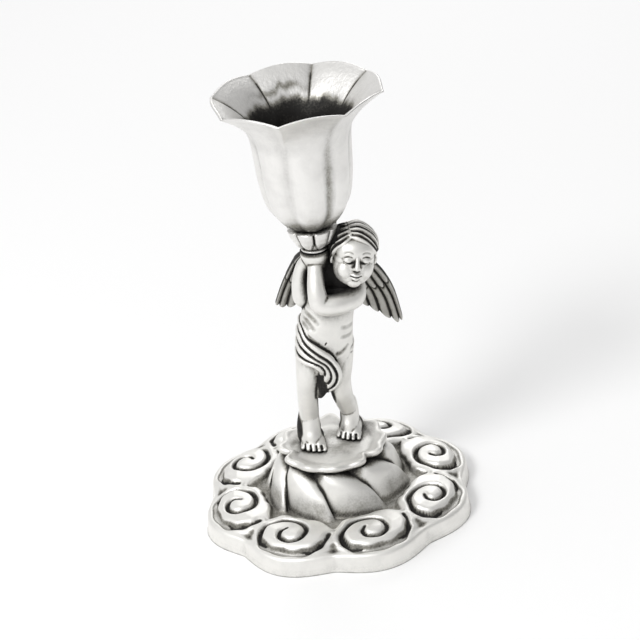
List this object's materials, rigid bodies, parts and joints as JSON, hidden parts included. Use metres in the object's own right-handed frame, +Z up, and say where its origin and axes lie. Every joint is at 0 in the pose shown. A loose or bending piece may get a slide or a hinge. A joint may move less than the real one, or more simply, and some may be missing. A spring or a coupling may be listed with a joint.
{
  "type": "cherub candlestick",
  "caption": "Cast antique-silver candlestick: a winged child on a scalloped plate and a scrolled, lobed base holds up a tulip-shaped candle cup.",
  "frame": {"origin": "middle of the base on the surface that it stands on", "axes": "+Z up, -Y the way the figure faces, +X to the viewer's right"},
  "size_m": [0.0734, 0.0734, 0.1208],
  "materials": {
    "antique_silver": "antique silver over zinc casting, black patina in the recesses",
    "antique_silver_figure": "antique silver over zinc casting, black patina in the recesses",
    "antique_silver_wing": "antique silver with heavy black patina between the feathers",
    "antique_silver_cup": "antique silver, satin brushed upright",
    "plated_steel": "zinc plated"
  },
  "bodies": {
    "root": {"base": "antique_silver", "cherub_figure": "antique_silver_figure", "left_wing": "antique_silver_wing", "right_wing": "antique_silver_wing", "calyx": "antique_silver_cup", "candle_cup": "antique_silver_cup", "cup_screw": "plated_steel", "base_screw": "plated_steel", "base_washer": "plated_steel"}
  },
  "joints": []
}
